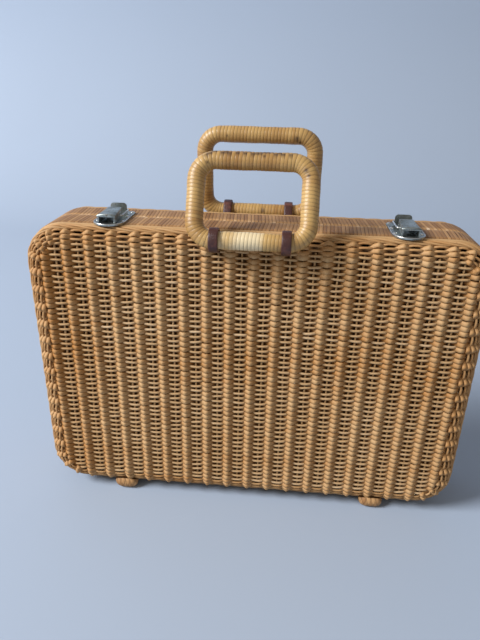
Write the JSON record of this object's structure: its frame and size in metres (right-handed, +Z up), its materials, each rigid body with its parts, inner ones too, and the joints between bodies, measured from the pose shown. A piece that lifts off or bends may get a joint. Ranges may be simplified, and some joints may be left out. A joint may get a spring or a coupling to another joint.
{
  "type": "wicker suitcase",
  "caption": "Upright wicker suitcase of two ribbed woven half shells with cane-bound rims, hinged at the bottom seam, with wrapped rattan handles, draw latches and cane feet.",
  "frame": {"origin": "middle of the footprint, on the floor under the feet", "axes": "+X across the width, +Y through the depth with the front half at -Y, +Z up"},
  "size_m": [0.4104, 0.1276, 0.3608],
  "materials": {
    "wicker": "aged woven willow, matte",
    "rim_cane": "cane binding, satin",
    "foot_cane": "rolled cane, satin",
    "handle_cane": "golden cane wrap, satin",
    "leather": "dark leather, worn",
    "aged_steel": "aged grey steel",
    "worn_steel": "worn bare steel"
  },
  "bodies": {
    "rear_half": {"rear_panel": "wicker", "rear_border": "wicker", "rear_rim": "rim_cane", "rear_left_strap": "leather", "rear_right_strap": "leather", "rear_left_foot": "foot_cane", "rear_right_foot": "foot_cane", "left_latch_keeper": "aged_steel", "left_keeper_rivets": "worn_steel", "left_hinge_rear_leaf": "aged_steel", "left_hinge_rear_rivets": "worn_steel", "left_hinge_pin": "worn_steel", "right_latch_keeper": "aged_steel", "right_keeper_rivets": "worn_steel", "right_hinge_rear_leaf": "aged_steel", "right_hinge_rear_rivets": "worn_steel", "right_hinge_pin": "worn_steel"},
    "front_half": {"front_panel": "wicker", "front_border": "wicker", "front_rim": "rim_cane", "front_left_strap": "leather", "front_right_strap": "leather", "front_left_foot": "foot_cane", "front_right_foot": "foot_cane", "left_latch_base": "aged_steel", "left_latch_rivets": "worn_steel", "left_latch_pin": "worn_steel", "left_hinge_front_leaf": "aged_steel", "left_hinge_front_rivets": "worn_steel", "right_latch_base": "aged_steel", "right_latch_rivets": "worn_steel", "right_latch_pin": "worn_steel", "right_hinge_front_leaf": "aged_steel", "right_hinge_front_rivets": "worn_steel"},
    "front_handle": {"front_handle": "handle_cane"},
    "rear_handle": {"rear_handle": "handle_cane"},
    "left_lever": {"left_latch_lever": "aged_steel"},
    "left_loop": {"left_latch_loop": "worn_steel"},
    "right_lever": {"right_latch_lever": "aged_steel"},
    "right_loop": {"right_latch_loop": "worn_steel"}
  },
  "joints": [
    {"name": "lid_hinge", "type": "hinge", "parent": "rear_half", "child": "front_half", "pos_m": [0, 0, 0.004], "axis": [1, 0, 0], "range_deg": [0, 120]},
    {"name": "left_lever_lift", "type": "hinge", "parent": "front_half", "child": "left_lever", "pos_m": [-0.129, -0.008, 0.2874], "axis": [-1, 0, 0], "range_deg": [0, 110]},
    {"name": "left_loop_swing", "type": "hinge", "parent": "left_lever", "child": "left_loop", "pos_m": [-0.129, -0.017, 0.2877], "axis": [-1, 0, 0], "range_deg": [-110, 0]},
    {"name": "right_lever_lift", "type": "hinge", "parent": "front_half", "child": "right_lever", "pos_m": [0.129, -0.008, 0.2874], "axis": [-1, 0, 0], "range_deg": [0, 110]},
    {"name": "right_loop_swing", "type": "hinge", "parent": "right_lever", "child": "right_loop", "pos_m": [0.129, -0.017, 0.2877], "axis": [-1, 0, 0], "range_deg": [-110, 0]},
    {"name": "front_handle_swing", "type": "hinge", "parent": "front_half", "child": "front_handle", "pos_m": [-0.003, -0.0535, 0.28], "axis": [1, 0, 0], "range_deg": [-15, 205]},
    {"name": "rear_handle_swing", "type": "hinge", "parent": "rear_half", "child": "rear_handle", "pos_m": [-0.003, 0.0535, 0.28], "axis": [-1, 0, 0], "range_deg": [-34, 186]}
  ],
  "couplings": [
    {"joint": "left_loop_swing", "follows": "left_lever_lift", "ratio": -1},
    {"joint": "right_loop_swing", "follows": "right_lever_lift", "ratio": -1}
  ]
}
